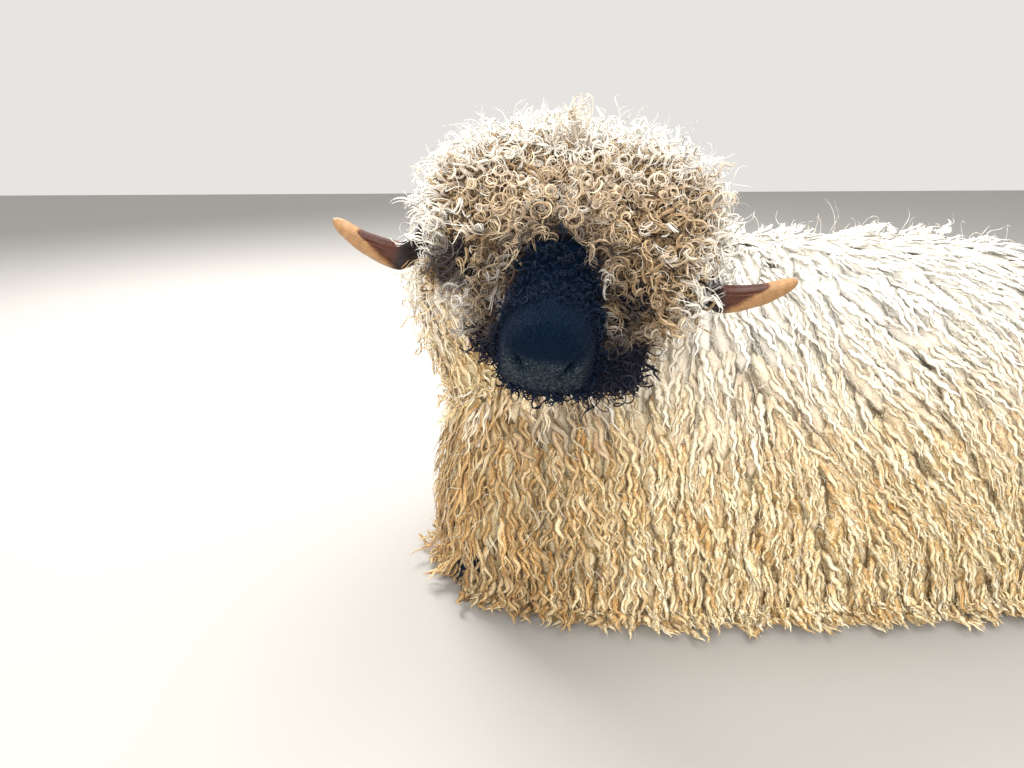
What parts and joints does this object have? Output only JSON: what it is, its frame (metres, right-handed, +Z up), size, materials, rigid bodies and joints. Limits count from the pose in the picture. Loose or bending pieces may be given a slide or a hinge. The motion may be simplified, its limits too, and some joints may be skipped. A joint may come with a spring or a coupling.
{
  "type": "valais blacknose sheep",
  "caption": "Life-size still model of a horned ewe of the Valais Blacknose breed, lying with folded legs and her black-faced, curly head turned to her left.",
  "frame": {"origin": "on the floor under the middle of the trunk, at the centre of the flat belly that the ewe rests on", "axes": "+Z up, +X along the trunk towards the tail, -Y out of the left flank, the side that the head is turned to"},
  "size_m": [1.148, 0.8457, 0.6928],
  "materials": {
    "fleece": "long matt crimped wool locks, cream with tan between them",
    "topknot_wool": "tight curled ringlets, white at the rim and golden to grey-brown at the middle",
    "leg_wool": "short curly wool with black spots at the knees and hocks",
    "black_face": "short velvety black hair with a bluish sheen, bare slate-grey nose",
    "horn": "ridged half-gloss horn, light tan edge and tip, dark brown striated back",
    "hoof_horn": "dark half-gloss hoof with fine growth rings",
    "eye_gloss": "wet amber-brown eye with a wide level pupil"
  },
  "bodies": {
    "root": {"torso": "fleece", "neck": "fleece", "head": "topknot_wool", "muzzle": "black_face", "tail": "fleece", "foreleg_left": "leg_wool", "foreleg_right": "leg_wool", "hindleg_left": "leg_wool", "hindleg_right_upper": "leg_wool", "hindleg_right_lower": "leg_wool", "hoof_fore_left_inner": "hoof_horn", "hoof_fore_left_outer": "hoof_horn", "hoof_fore_right_inner": "hoof_horn", "hoof_fore_right_outer": "hoof_horn", "hoof_hind_left_inner": "hoof_horn", "hoof_hind_left_outer": "hoof_horn", "hoof_hind_right_inner": "hoof_horn", "hoof_hind_right_outer": "hoof_horn", "horn_left": "horn", "ear_left": "black_face", "eye_left": "eye_gloss", "horn_right": "horn", "ear_right": "black_face", "eye_right": "eye_gloss"}
  },
  "joints": []
}
